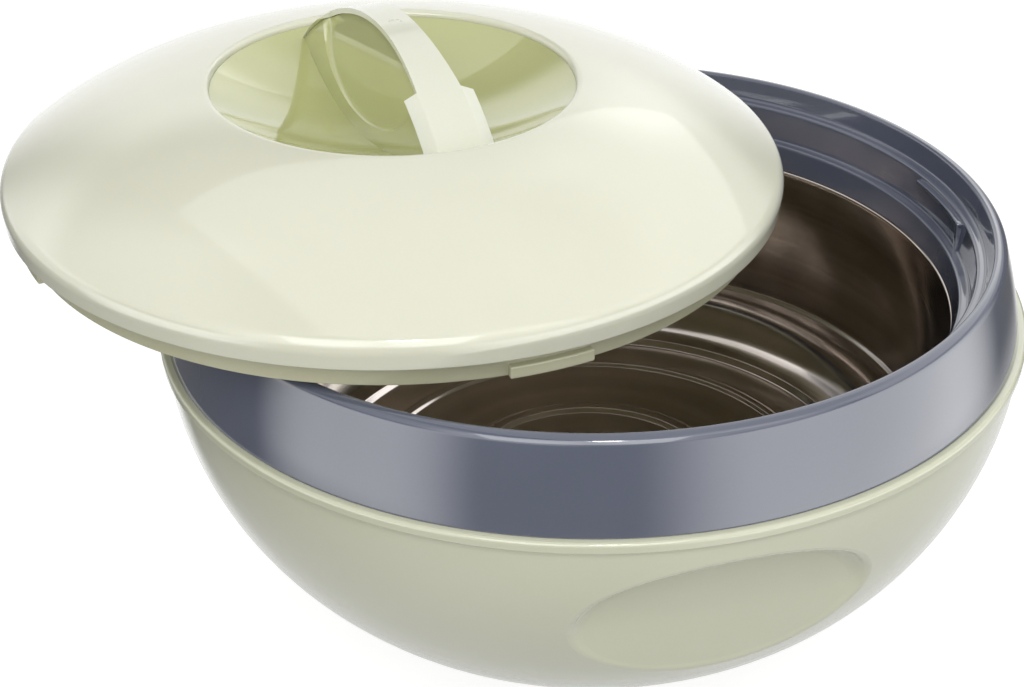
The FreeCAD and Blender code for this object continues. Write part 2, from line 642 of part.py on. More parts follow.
# ---------------------------------------------------------------------------------------------
# Lid: dish with the handle's web and its two finger scoops
# ---------------------------------------------------------------------------------------------
DISH_EDGE = "(dish_level - dish_lip)"
DISH_OUTSIDE = "(dish_radius - lid_fit)"
DISH_DEPTH = f"({DISH_EDGE} - dish_floor)"
DISH_BOW = f"(({DISH_OUTSIDE}^2 + {DISH_DEPTH}^2)/(2*{DISH_DEPTH}))"
DISH_CENTRE = f"(dish_floor + {DISH_BOW})"
FLANGE_SEAT = "(dish_level - lid_wall - lid_fit)"
FLANGE_UNDER = f"({FLANGE_SEAT} - lid_wall)"
FLANGE_EDGE = f"({FLANGE_SEAT} - lid_wall/2)"
ARCH_CENTRE = "(arch_level - arch_radius)"
ARCH_UNDER = "(arch_radius - strap_thickness)"


def dish_radius_at(offset, level):
    """Return the radius at a level of a sphere that lies an offset below the dish's surface."""
    return f"sqrt(({DISH_BOW} + {offset})^2 - ({DISH_CENTRE} - {level})^2)"


dish_skin = turned_body("dish_skin", [
    (DISH_OUTSIDE, DISH_EDGE, {"bow": (DISH_BOW, 1)}),
    ("0", "dish_floor"),
    ("0", "dish_floor - lid_wall", {"bow": (f"{DISH_BOW} + lid_wall", -1)}),
    (dish_radius_at("lid_wall", FLANGE_UNDER), FLANGE_UNDER),
    (f"{DISH_OUTSIDE} + dish_flange", FLANGE_UNDER),
    (f"{DISH_OUTSIDE} + dish_flange", FLANGE_EDGE),
    (DISH_OUTSIDE, FLANGE_SEAT),
])


def ball(name, radius):
    """Make a ball about the dish's centre."""
    sphere = doc.addObject("Part::Sphere", name)
    bind(sphere, "Radius", radius)
    bind(sphere, "Placement.Base.z", DISH_CENTRE)
    return sphere


web_body = new_body("web_body")
web_section = draw(web_body, "web_section", [
    ("web_half_foot", "dish_floor"),
    ("web_half_top", "arch_level"),
    ("-web_half_top", "arch_level"),
    ("-web_half_foot", "dish_floor"),
    ("-web_half_foot", "dish_floor - lid_wall"),
    ("web_half_foot", "dish_floor - lid_wall"),
], "YZ_Plane")
pad(web_body, web_section, "web_block", "2*dish_radius")

web_arch = doc.addObject("Part::Cylinder", "web_arch")
bind(web_arch, "Radius", f"{ARCH_UNDER} - lid_fit")
bind(web_arch, "Height", "4*web_half_foot")
web_arch.Placement = Placement(Vector(0, 0, 0), Rotation(Vector(1, 0, 0), 90))
bind(web_arch, "Placement.Base.y", "2*web_half_foot")
bind(web_arch, "Placement.Base.z", ARCH_CENTRE)

scoop = oval_block("scoop_near", "scoop_half_width", "scoop_half_height", "scoop_level",
                   "scoop_reach", "-scoop_lean", "scoop_rounding", "web_half_foot")
scoops = both_sides("scoops", scoop)
web_under_strap = boolean("Common", "web_under_strap", web_body, web_arch)
web_in_dish = boolean("Common", "web_in_dish", web_under_strap, ball("web_ball", f"{DISH_BOW} + lid_wall/2"))
web = boolean("Cut", "web", web_in_dish, scoops)
lid_dish = boolean("Fuse", "lid_dish", dish_skin, web)

# ---------------------------------------------------------------------------------------------
# Lid: handle strap
# ---------------------------------------------------------------------------------------------
strap_body = new_body("strap_body")
strap_section = draw(strap_body, "strap_section", [
    ("-boot_half_width", ARCH_UNDER),
    ("boot_half_width", ARCH_UNDER),
    ("boot_half_width", "arch_radius - boot_slope"),
    ("strap_half_width", "arch_radius", {"round": "boot_slope"}),
    ("-strap_half_width", "arch_radius", {"round": "boot_slope"}),
    ("-boot_half_width", "arch_radius - boot_slope"),
], "YZ_Plane")
bind(strap_section, "AttachmentOffset.Base.y", ARCH_CENTRE)
strap_arch = turn(strap_body, strap_section, "strap_arch", "strap_sweep", True, "H_Axis")

for side in ("", "-"):
    narrowed = draw(strap_body, "strap_side" + side.replace("-", "_far"), [
        ("boot_start", f"{side}2*boot_half_width"),
        ("-boot_start", f"{side}2*boot_half_width"),
        ("-boot_start", f"{side}strap_half_width", {"bow": ("strap_bow", 1 if side else -1)}),
        ("boot_start", f"{side}strap_half_width"),
    ], "XY_Plane")
    pocket(strap_body, narrowed, narrowed.Name + "_cut", "4*arch_radius", True)

gate = new_sketch(strap_body, "gate_circle", "XY_Plane")
bind(gate, "AttachmentOffset.Base.z", "arch_level")
bind(gate, "AttachmentOffset.Base.x", "gate_shift")
gate.addGeometry(Part.Circle(Vector(0, 0, 0), Vector(0, 0, 1), number("gate_radius")), False)
gate.addConstraint(Sketcher.Constraint("Coincident", 0, 3, -1, 1))
gate_size = gate.addConstraint(Sketcher.Constraint("Radius", 0, number("gate_radius")))
bind(gate, f"Constraints[{gate_size}]", "gate_radius")
pocket(strap_body, gate, "gate_mark", "gate_depth", False)
handle_strap = boolean("Common", "handle_strap", strap_body, ball("strap_ball", f"{DISH_BOW} - lid_fit"))

# ---------------------------------------------------------------------------------------------
# Lid: liner with skirt and bayonet tabs, and foam
# ---------------------------------------------------------------------------------------------
SKIRT_INSIDE = f"({SKIRT_RADIUS} - lid_wall)"
LINER_RIM = f"({LID_RADIUS} - lid_wall - liner_fit)"
PLATE_MIDDLE = "(plate_rise - plate_level)"

lid_liner = turned_body("lid_liner", [
    ("0", PLATE_MIDDLE),
    ("0", f"{PLATE_MIDDLE} + liner_wall"),
    (SKIRT_INSIDE, "liner_wall - plate_level"),
    (SKIRT_INSIDE, "flange_rise"),
    (LINER_RIM, "flange_rise"),
    (LINER_RIM, "liner_fit"),
    (SKIRT_RADIUS, "liner_fit"),
    (SKIRT_RADIUS, "-skirt_depth", {"round": "fine_rounding"}),
    (SKIRT_INSIDE, "-skirt_depth", {"round": "fine_rounding"}),
    (SKIRT_INSIDE, "-plate_level"),
])
tab_outline = draw(lid_liner, "tab_outline", [
    (f"{SKIRT_RADIUS} - lid_wall/2", "-skirt_depth"),
    (f"{SKIRT_RADIUS} + tab_reach", "-skirt_depth", {"round": "fine_rounding"}),
    (f"{SKIRT_RADIUS} + tab_reach", "tab_height - skirt_depth"),
    (f"{SKIRT_RADIUS} - lid_wall/2", "tab_height - skirt_depth"),
])
tab = turn(lid_liner, tab_outline, "tab", "tab_sweep", True)
ring_of(lid_liner, "tabs", [tab], "lug_count")

lid_foam = turned_body("lid_foam", [
    ("0", f"{PLATE_MIDDLE} + liner_wall + foam_gap"),
    (f"{SKIRT_INSIDE} - foam_gap", "liner_wall - plate_level + foam_gap"),
    (f"{SKIRT_INSIDE} - foam_gap", "flange_rise + foam_gap"),
    (f"{LINER_RIM} - foam_gap", "flange_rise + foam_gap"),
    (f"{LID_INSIDE} - 2*foam_gap", f"{LID_SHOULDER} - foam_gap",
     {"bow": ("dome_bow - lid_wall - foam_gap", -1)}),
    (f"{DISH_OUTSIDE} + dish_flange + foam_gap", f"{FLANGE_EDGE} - 2*foam_gap"),
    (f"{DISH_OUTSIDE} + dish_flange + foam_gap", f"{FLANGE_UNDER} - foam_gap"),
    (dish_radius_at("lid_wall + foam_gap", f"({FLANGE_UNDER} - foam_gap)"), f"{FLANGE_UNDER} - foam_gap",
     {"bow": (f"{DISH_BOW} + lid_wall + foam_gap", 1)}),
    ("0", "dish_floor - lid_wall - foam_gap"),
])

# ---------------------------------------------------------------------------------------------
# Places of the pieces, checks and export
# ---------------------------------------------------------------------------------------------
lid_slope = Rotation(Vector(0, 1, 0), number("lid_tilt")).multiply(
    Rotation(Vector(1, 0, 0), number("lid_lean")))
lid_place = Placement(Vector(number("lid_across"), number("lid_along"), number(LID_LEVEL)),
                      lid_slope.multiply(Rotation(Vector(0, 0, 1), number("lid_bearing"))))
BOWL = [outer_shell, collar, inner_pot, bowl_foam, base_plug]
LID = [lid_shell, lid_dish, handle_strap, lid_liner, lid_foam]
for piece in LID:
    piece.Placement = lid_place
lid_liner.Placement = lid_place.multiply(
    Placement(Vector(0, 0, 0), Rotation(Vector(0, 0, 1), number("tab_turn"))))
doc.recompute()

for item in doc.Objects:
    if "Invalid" in item.State or "Error" in item.State:
        raise RuntimeError(f"{item.Name} did not build: {item.State}")
os.makedirs("parts", exist_ok=True)
for piece in BOWL + LID:
    shape = piece.Shape
    if shape.isNull() or not shape.isValid() or len(shape.Solids) != 1:
        raise RuntimeError(f"{piece.Label} is not one valid solid")
    shape.exportStep(f"parts/{piece.Label}.step")
    print(piece.Label, round(shape.Volume / 1000, 2), "cm3")
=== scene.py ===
"""Insulated chapati casserole: fine forms and finishes round its frame, with light and camera.

Lengths are in metres, in the frame's own axes. The bowl stands on z = 0 about the Z axis, and the
lid lies across its rim. Lid pieces are made about the lid's own axis and then put in place.
"""
import json
import logging
import math
from dataclasses import dataclass
from enum import Enum

import bmesh
import bpy
from mathutils import Matrix, Vector


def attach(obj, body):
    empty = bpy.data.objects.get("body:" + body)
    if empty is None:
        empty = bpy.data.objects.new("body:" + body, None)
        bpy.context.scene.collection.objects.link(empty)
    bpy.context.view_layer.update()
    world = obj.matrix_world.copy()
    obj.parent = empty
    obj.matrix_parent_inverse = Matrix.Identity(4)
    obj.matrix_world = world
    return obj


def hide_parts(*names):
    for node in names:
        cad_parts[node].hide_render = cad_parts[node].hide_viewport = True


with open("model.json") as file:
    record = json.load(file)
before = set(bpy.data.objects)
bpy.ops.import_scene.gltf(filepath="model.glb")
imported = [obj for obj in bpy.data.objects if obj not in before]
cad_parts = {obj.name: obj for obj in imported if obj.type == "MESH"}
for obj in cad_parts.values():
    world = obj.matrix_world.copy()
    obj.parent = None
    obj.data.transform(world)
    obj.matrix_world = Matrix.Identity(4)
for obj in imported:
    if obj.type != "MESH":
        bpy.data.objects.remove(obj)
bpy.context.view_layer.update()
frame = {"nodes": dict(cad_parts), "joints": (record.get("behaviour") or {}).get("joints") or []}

MM = 0.001
WHITE = (1.0, 1.0, 1.0, 1.0)
LOG = logging.getLogger("casserole")


# ----------------------------------------
# Named options
# ----------------------------------------
class Body(Enum):
    """Bodies of the frame that pieces ride on."""

    BOWL = "bowl"
    LID = "lid"


class Slot(Enum):
    """Names of the record's material slots; no piece in this script reads them."""

    SHELL = "shell_green"
    COLLAR = "collar_blue"
    POT = "pot_steel"
    LID = "lid_cream"
    DISH = "dish_olive"
    STRAP = "strap_cream"
    LINER = "liner_cream"
    FOAM = "foam"


# ----------------------------------------
# Node trees and colours
# ----------------------------------------
def linear(red: int, green: int, blue: int) -> tuple[float, float, float, float]:
    """Turn a screen colour into the linear colour that shaders take.

    Args:
        red: Red, 0 to 255.
        green: Green, 0 to 255.
        blue: Blue, 0 to 255.

    Returns:
        The colour as linear red, green, blue and an alpha of one.
    """
    shares = (value / 255 for value in (red, green, blue))
    return (*(s / 12.92 if s <= 0.04045 else ((s + 0.055) / 1.055) ** 2.4 for s in shares), 1.0)


class Tree:
    """A node tree under construction."""

    def __init__(self, tree: bpy.types.NodeTree) -> None:
        """Take over a node tree."""
        self.tree = tree

    def add(self, kind: str, inputs: dict[str | int, object] | None = None,
            **settings: object) -> bpy.types.Node:
        """Add a node, set it and join it.

        Args:
            kind: The node's type name.
            inputs: A socket to join or a value to set for each input, by name or number.
            settings: Properties of the node.

        Returns:
            The new node.
        """
        node = self.tree.nodes.new(kind)
        for name, value in settings.items():
            setattr(node, name, value)
        self.feed(node, inputs or {})
        return node

    def feed(self, node: bpy.types.Node, inputs: dict[str | int, object]) -> None:
        """Join or set inputs of a node.

        Args:
            node: The node.
            inputs: A socket to join or a value to set for each input, by name or number.
        """
        for key, value in inputs.items():
            if isinstance(value, bpy.types.NodeSocket):
                self.tree.links.new(value, node.inputs[key])
            else:
                node.inputs[key].default_value = value

    def math(self, operation: str, *terms: object) -> bpy.types.NodeSocket:
        """Return the result of a math node on up to three numbers or sockets."""
        return self.add("ShaderNodeMath", dict(enumerate(terms)), operation=operation).outputs[0]

    def noise(self, place: bpy.types.NodeSocket, scale: float,
              detail: float) -> bpy.types.NodeSocket:
        """Return the value of a noise texture at a place."""
        return self.add("ShaderNodeTexNoise",
                        {"Vector": place, "Scale": scale, "Detail": detail}).outputs[0]

    def scaled(self, value: bpy.types.NodeSocket, given: tuple[float, float],
               wanted: tuple[float, float] = (0.0, 1.0),
               soft: bool = False) -> bpy.types.NodeSocket:
        """Carry a value from one range over to another.

        Args:
            value: The value.
            given: The range that it comes in.
            wanted: The range that it goes out in.
            soft: Whether it eases in and out at the ends.

        Returns:
            The socket with the new value.
        """
        ends = {"Value": value, "From Min": given[0], "From Max": given[1],
                "To Min": wanted[0], "To Max": wanted[1]}
        kind = "SMOOTHSTEP" if soft else "LINEAR"
        return self.add("ShaderNodeMapRange", ends, interpolation_type=kind).outputs[0]

    def blend(self, value: bpy.types.NodeSocket, spots: tuple[float, float],
              colours: tuple[tuple[int, int, int], tuple[int, int, int]]) -> bpy.types.NodeSocket:
        """Blend two screen colours by a value.

        Args:
            value: The value.
            spots: The values at which the first and the second colour stand pure.
            colours: The two colours.

        Returns:
            The socket with the colour.
        """
        ramp = self.add("ShaderNodeValToRGB", {"Fac": value})
        for element, spot, colour in zip(ramp.color_ramp.elements, spots, colours):
            element.position = spot
            element.color = linear(*colour)
        return ramp.outputs[0]

    def bump(self, height: bpy.types.NodeSocket, distance: float, strength: float = 1.0,
             under: bpy.types.NodeSocket | None = None) -> bpy.types.NodeSocket:
        """Raise a height from the surface.

        Args:
            height: The height, from zero to one.
            distance: What a height of one stands for, in metres.
            strength: The share of it that shows.
            under: The normal of a bump that this one lies on.

        Returns:
            The socket with the new normal.
        """
        inputs = {"Height": height, "Distance": distance, "Strength": strength}
        if under:
            inputs["Normal"] = under
        return self.add("ShaderNodeBump", inputs).outputs[0]


def new_material(name: str) -> tuple[bpy.types.Material, Tree, bpy.types.Node]:
    """Start a material.

    Args:
        name: The material's name.

    Returns:
        The material, its tree and its surface shader.
    """
    material = bpy.data.materials.new(name)
    material.use_nodes = True
    return material, Tree(material.node_tree), material.node_tree.nodes["Principled BSDF"]


# ----------------------------------------
# Finishes
# ----------------------------------------
@dataclass(frozen=True)
class MouldedPlastic:
    """Glossy injection-moulded plastic with faint flow clouds, ripple and handling marks."""

    name: str
    colour: tuple[int, int, int]
    cloud_colour: tuple[int, int, int]
    roughness: float = 0.14
    coat: float = 0.35
    coat_roughness: float = 0.03
    soak: float = 0.12
    soak_depth: float = 3 * MM
    soak_reach: tuple[float, float, float] = (1.0, 0.9, 0.6)
    refraction: float = 1.55
    cloud_scale: float = 16.0
    cloud_share: float = 0.78
    cloud_spots: tuple[float, float] = (0.38, 0.62)
    grain_scale: float = 1400.0
    grain_height: float = 0.004 * MM
    grain_strength: float = 0.6
    mark_scale: float = 60.0
    mark_range: tuple[float, float] = (0.35, 0.75)
    mark_gloss: tuple[float, float] = (0.8, 1.35)
    ripple_scale: float = 28.0
    ripple: float = 0.05 * MM

    def material(self) -> bpy.types.Material:
        """Build the plastic's material.

        Returns:
            The new material.
        """
        material, tree, shader = new_material(self.name)
        place = tree.add("ShaderNodeTexCoord").outputs["Object"]
        grain = tree.noise(place, self.grain_scale, detail=2.0)
        clouds = tree.noise(place, self.cloud_scale, detail=3.0)
        mottling = tree.math("MULTIPLY_ADD", grain, 1 - self.cloud_share,
                             tree.math("MULTIPLY", clouds, self.cloud_share))
        marks = tree.noise(place, self.mark_scale, detail=6.0)
        smooth, rough = (self.roughness * share for share in self.mark_gloss)
        swelling = tree.bump(tree.noise(place, self.ripple_scale, detail=1.0), self.ripple)
        tree.feed(shader, {
            "Base Color": tree.blend(mottling, self.cloud_spots, (self.cloud_colour, self.colour)),
            "Roughness": tree.scaled(marks, self.mark_range, (smooth, rough)),
            "Normal": tree.bump(grain, self.grain_height, self.grain_strength, swelling),
            "Subsurface Weight": self.soak, "Subsurface Scale": self.soak_depth,
            "Subsurface Radius": self.soak_reach, "Coat Weight": self.coat,
            "Coat Roughness": self.coat_roughness, "IOR": self.refraction})
        return material


@dataclass(frozen=True)
class SpunSteel:
    """Polished sheet steel with the fine rings of spinning round the Z axis. Its colour is blended
    between two tints by bands and stains; these patches are partly real staining and partly painted
    reflection.
    """

    name: str
    colour: tuple[int, int, int]
    shade_colour: tuple[int, int, int]
    roughness: float = 0.13
    ring_scale: float = 900.0
    ring_height: float = 0.012 * MM
    ring_strength: float = 0.7
    ring_range: tuple[float, float] = (0.3, 0.7)
    ring_gloss: tuple[float, float] = (0.8, 1.3)
    band_scale: float = 90.0
    band_height: float = 0.06 * MM
    # Size, share and ramp spots of the tint patches, which are partly stains and partly painted
    # reflection patches.
    stain_and_reflection_scale: float = 22.0
    stain_and_reflection_share: float = 0.5
    stain_and_reflection_spots: tuple[float, float] = (0.35, 0.65)
    dent_scale: float = 17.0
    dent: float = 1.5 * MM

    def material(self) -> bpy.types.Material:
        """Build the steel's material.

        Returns:
            The new material.
        """
        material, tree, shader = new_material(self.name)
        place = tree.add("ShaderNodeTexCoord").outputs["Object"]
        parts = tree.add("ShaderNodeSeparateXYZ", {"Vector": place}).outputs
        flat = tree.add("ShaderNodeCombineXYZ", {"X": parts["X"], "Y": parts["Y"]}).outputs[0]
        out = tree.add("ShaderNodeVectorMath", {0: flat}, operation="LENGTH").outputs["Value"]
        section = tree.add("ShaderNodeCombineXYZ", {"X": out, "Y": 0.0, "Z": parts["Z"]}).outputs[0]
        rings = tree.noise(section, self.ring_scale, detail=4.0)
        bands = tree.noise(section, self.band_scale, detail=2.0)
        # Tint patches on the steel: partly real staining, partly painted reflection of the
        # surroundings.
        stains_and_reflections = tree.noise(place, self.stain_and_reflection_scale, detail=4.0)
        staining_and_reflections = tree.math("MULTIPLY_ADD", bands, 1 - self.stain_and_reflection_share,
                             tree.math("MULTIPLY", stains_and_reflections, self.stain_and_reflection_share))
        smooth, rough = (self.roughness * share for share in self.ring_gloss)
        dents = tree.bump(tree.noise(place, self.dent_scale, detail=1.0), self.dent)
        broad = tree.bump(bands, self.band_height, under=dents)
        tree.feed(shader, {
            "Metallic": 1.0,
            "Base Color": tree.blend(staining_and_reflections, self.stain_and_reflection_spots, (self.shade_colour, self.colour)),
            "Roughness": tree.scaled(rings, self.ring_range, (smooth, rough)),
            "Normal": tree.bump(rings, self.ring_height, self.ring_strength, broad)})
        return material


@dataclass(frozen=True)
class RigidFoam:
    """Poured insulating foam with fine closed cells."""

    name: str
    colour: tuple[int, int, int]
    cell_colour: tuple[int, int, int]
    roughness: float = 0.85
    cell_scale: float = 700.0
    cell_depth: float = 0.3 * MM

    def material(self) -> bpy.types.Material:
        """Build the foam's material.

        Returns:
            The new material.
        """
        material, tree, shader = new_material(self.name)
        place = tree.add("ShaderNodeTexCoord").outputs["Object"]
        cells = tree.add("ShaderNodeTexVoronoi", {"Vector": place, "Scale": self.cell_scale})
        gap = cells.outputs["Distance"]
        tree.feed(shader, {
            "Roughness": self.roughness,
            "Base Color": tree.blend(gap, (0.0, 1.0), (self.cell_colour, self.colour)),
            "Normal": tree.bump(gap, self.cell_depth)})
        return material


# ----------------------------------------
# Outlines in section
# ----------------------------------------
@dataclass(frozen=True)
class Corner:
    """A corner of a section, with the rounding on it and the bow of the side that follows it."""

    out: float
    up: float
    rounding: float = 0.0
    bow: float = 0.0

    @property
    def point(self) -> Vector:
        """The corner as a point of the section's plane."""
        return Vector((self.out, self.up))


class Outline:
    """A section outline through corners, with arcs for its bowed sides and its roundings."""

    ARC_STEP = math.radians(11)
    BOW_STEP = 3.5 * MM
    LEAST_BOW_STEPS = 4
    LEAST_ARC_STEPS = 3
    SUPPORT = 0.35 * MM
    STRAIGHT = 1e-4

    def __init__(self, corners: list[Corner], closed: bool) -> None:
        """Keep the corners.

        Args:
            corners: The corners in order.
            closed: Whether the last corner is joined to the first.
        """
        self.corners = corners
        self.closed = closed

    def side(self, number: int) -> list[Vector]:
        """Work out the side from one corner to the next.

        Args:
            number: The number of the corner that it starts from.

        Returns:
            Its points, both ends included.
        """
        corner = self.corners[number]
        start, end = corner.point, self.corners[(number + 1) % len(self.corners)].point
        if not corner.bow:
            return [start, end]
        chord = end - start
        left = Vector((-chord.y, chord.x)).normalized() * math.copysign(1, corner.bow)
        radius = abs(corner.bow)
        centre = (start + end) / 2 - left * math.sqrt(radius ** 2 - (chord.length / 2) ** 2)
        first, last = start - centre, end - centre
        turn = first.angle_signed(last)
        steps = max(self.LEAST_BOW_STEPS, math.ceil(abs(turn) * radius / self.BOW_STEP),
                    math.ceil(abs(turn) / self.ARC_STEP))
        return [centre + Matrix.Rotation(-turn * i / steps, 2) @ first for i in range(steps + 1)]

    def rounding(self, number: int, before: list[Vector],
                 after: list[Vector]) -> tuple[float, list[Vector]]:
        """Work out the rounding of a corner.

        Args:
            number: The corner's number.
            before: Points of the side that ends there.
            after: Points of the side that starts there.

        Returns:
            How much of each side it takes away, and the points of its arc.
        """
        corner = self.corners[number]
        came, goes = (before[-1] - before[-2]).normalized(), (after[1] - after[0]).normalized()
        turn = came.angle_signed(goes)
        if not corner.rounding or abs(turn) < self.STRAIGHT:
            return 0.0, [corner.point]
        taken = corner.rounding * math.tan(abs(turn) / 2)
        steps = max(self.LEAST_ARC_STEPS, math.ceil(abs(turn) / self.ARC_STEP))
        start = corner.point - came * taken
        inwards = Vector((-came.y, came.x)) * -math.copysign(1, turn)
        centre = start + inwards * corner.rounding
        arm = start - centre
        turns = (Matrix.Rotation(-turn * i / steps, 2) for i in range(steps + 1))
        return taken, [centre + rotation @ arm for rotation in turns]

    def points(self) -> list[Vector]:
        """Work out the whole outline.

        Returns:
            Its points, with the first one repeated at the end when it is closed.
        """
        count = len(self.corners)
        sides = [self.side(i) for i in range(count if self.closed else count - 1)]
        corners = [(0.0, [corner.point]) for corner in self.corners]
        for i in range(count):
            if self.closed or 0 < i < count - 1:
                corners[i] = self.rounding(i, sides[i - 1], sides[i])
        points: list[Vector] = []
        for i, side in enumerate(sides):
            taken, arc = corners[i]
            left_over, next_arc = corners[(i + 1) % count]
            points += arc
            ends = (side[0], side[-1])
            middle = [p for p in side[1:-1] if (p - ends[0]).length > taken + self.SUPPORT
                      and (p - ends[1]).length > left_over + self.SUPPORT]
            start, end = arc[-1], next_arc[0]
            support = min(self.SUPPORT, (end - start).length / 3)
            way_out = ((middle[0] if middle else end) - start).normalized()
            way_in = ((middle[-1] if middle else start) - end).normalized()
            points += [start + way_out * support, *middle, end + way_in * support]
        points.append(corners[0][1][0] if self.closed else self.corners[-1].point)
        return points

    def mesh(self, name: str) -> bpy.types.Mesh:
        """Lay the outline in the XZ plane.

        Args:
            name: The mesh's name.

        Returns:
            The outline as a chain of edges.
        """
        mesh = bpy.data.meshes.new(name)
        points = self.points()
        edges = [(i, i + 1) for i in range(len(points) - 1)]
        mesh.from_pydata([(p.x, 0, p.y) for p in points], edges, [])
        return mesh


# ----------------------------------------
# Geometry node forms
# ----------------------------------------
def new_geometry_tree(name: str, inputs: dict[str, str]) -> Tree:
    """Start a geometry tree with named inputs and one geometry output.

    Args:
        name: The tree's name.
        inputs: Socket type for each input's name.

    Returns:
        The tree, ready for nodes.
    """
    tree = bpy.data.node_groups.new(name, "GeometryNodeTree")
    for title, kind in inputs.items():
        tree.interface.new_socket(title, in_out="INPUT", socket_type=kind)
    tree.interface.new_socket("Geometry", in_out="OUTPUT", socket_type="NodeSocketGeometry")
    return Tree(tree)


def finish_tree(tree: Tree, form: bpy.types.NodeSocket, material: bpy.types.NodeSocket) -> None:
    """End a geometry tree with a real mesh, smooth and of one material.

    Args:
        tree: The tree.
        form: The geometry to end with.
        material: The material's socket.
    """
    real = tree.add("GeometryNodeRealizeInstances", {"Geometry": form}).outputs[0]
    smooth = tree.add("GeometryNodeSetShadeSmooth", {"Geometry": real, "Shade Smooth": True})
    finished = tree.add("GeometryNodeSetMaterial",
                        {"Geometry": smooth.outputs[0], "Material": material})
    tree.add("NodeGroupOutput", {"Geometry": finished.outputs[0]})


def turned_tree() -> bpy.types.NodeTree:
    """Build the tree that turns a section outline round the Z axis.

    Returns:
        A tree with the inputs Geometry, Steps and Material.
    """
    tree = new_geometry_tree("turned_form", {
        "Geometry": "NodeSocketGeometry", "Steps": "NodeSocketInt",
        "Material": "NodeSocketMaterial"})
    given = tree.add("NodeGroupInput").outputs
    count = tree.add("GeometryNodeAttributeDomainSize", {"Geometry": given["Geometry"]},
                     component="MESH").outputs["Point Count"]
    columns = tree.math("ADD", given["Steps"], 1.0)
    grid = tree.add("GeometryNodeMeshGrid", {
        "Size X": 1.0, "Size Y": 1.0, "Vertices X": count, "Vertices Y": columns})
    index = tree.add("GeometryNodeInputIndex").outputs[0]
    row = tree.math("FLOOR", tree.math("DIVIDE", tree.math("ADD", index, 0.5), columns))
    column = tree.math("SUBTRACT", index, tree.math("MULTIPLY", row, columns))
    angle = tree.math("MULTIPLY", tree.math("DIVIDE", column, given["Steps"]), 2 * math.pi)
    spot = tree.add("GeometryNodeSampleIndex", {"Geometry": given["Geometry"], "Index": row},
                    data_type="FLOAT_VECTOR", domain="POINT")
    tree.feed(spot, {"Value": tree.add("GeometryNodeInputPosition").outputs[0]})
    section = tree.add("ShaderNodeSeparateXYZ", {0: spot.outputs[0]}).outputs
    place = tree.add("ShaderNodeCombineXYZ", {
        "X": tree.math("MULTIPLY", section["X"], tree.math("COSINE", angle)),
        "Y": tree.math("MULTIPLY", section["X"], tree.math("SINE", angle)), "Z": section["Z"]})
    bent = tree.add("GeometryNodeSetPosition",
                    {"Geometry": grid.outputs["Mesh"], "Position": place.outputs[0]})
    welded = tree.add("GeometryNodeMergeByDistance",
                      {"Geometry": bent.outputs[0], "Distance": 0.001 * MM})
    finish_tree(tree, welded.outputs[0], given["Material"])
    return tree.tree


def ring_tree() -> bpy.types.NodeTree:
    """Build the tree that repeats a form at even angles round the Z axis.

    Returns:
        A tree with the inputs Geometry, Count, First Angle and Material.
    """
    tree = new_geometry_tree("ring_of_forms", {
        "Geometry": "NodeSocketGeometry", "Count": "NodeSocketInt",
        "First Angle": "NodeSocketFloat", "Material": "NodeSocketMaterial"})
    given = tree.add("NodeGroupInput").outputs
    spots = tree.add("GeometryNodePoints", {"Count": given["Count"]})
    share = tree.math("DIVIDE", tree.add("GeometryNodeInputIndex").outputs[0], given["Count"])
    turned = tree.math("MULTIPLY_ADD", share, 2 * math.pi, given["First Angle"])
    turn = tree.add("ShaderNodeCombineXYZ", {"Z": turned})
    copies = tree.add("GeometryNodeInstanceOnPoints", {
        "Points": spots.outputs[0], "Instance": given["Geometry"], "Rotation": turn.outputs[0]})
    finish_tree(tree, copies.outputs[0], given["Material"])
    return tree.tree


class Workshop:
    """Makes plain mesh pieces from outlines and geometry trees."""

    STEPS = 288

    def __init__(self) -> None:
        """Build the trees."""
        self.turned_form = turned_tree()
        self.ring = ring_tree()

    def baked(self, name: str, source: bpy.types.Mesh, tree: bpy.types.NodeTree,
              values: dict[str, object]) -> bpy.types.Object:
        """Run a tree on a source mesh and keep the plain mesh that comes out.

        Args:
            name: The piece's name.
            source: The mesh that the tree starts from.
            tree: The geometry tree.
            values: Values of the tree's inputs, by name.

        Returns:
            The new piece.
        """
        holder = bpy.data.objects.new(name + "_source", source)
        modifier = holder.modifiers.new("form", "NODES")
        modifier.node_group = tree
        for socket in tree.interface.items_tree:
            if socket.in_out == "INPUT" and socket.name in values:
                modifier[socket.identifier] = values[socket.name]
        bpy.context.scene.collection.objects.link(holder)
        graph = bpy.context.evaluated_depsgraph_get()
        mesh = bpy.data.meshes.new_from_object(holder.evaluated_get(graph), depsgraph=graph)
        holder.modifiers.remove(modifier)
        bpy.data.objects.remove(holder)
        mesh.name = name
        form = bmesh.new()
        form.from_mesh(mesh)
        bmesh.ops.recalc_face_normals(form, faces=form.faces)
        form.to_mesh(mesh)
        form.free()
        piece = bpy.data.objects.new(name, mesh)
        bpy.context.scene.collection.objects.link(piece)
        return piece

    def turned(self, name: str, outline: Outline,
               material: bpy.types.Material) -> bpy.types.Object:
        """Turn an outline into a piece of a material."""
        return self.baked(name, outline.mesh(name + "_outline"), self.turned_form,
                          {"Steps": self.STEPS, "Material": material})

    def ring_of(self, name: str, form: bpy.types.Mesh, count: int, first: float,
                material: bpy.types.Material) -> bpy.types.Object:
        """Repeat a form round the axis into one piece of a material."""
        return self.baked(name, form, self.ring,
                          {"Count": count, "First Angle": first, "Material": material})


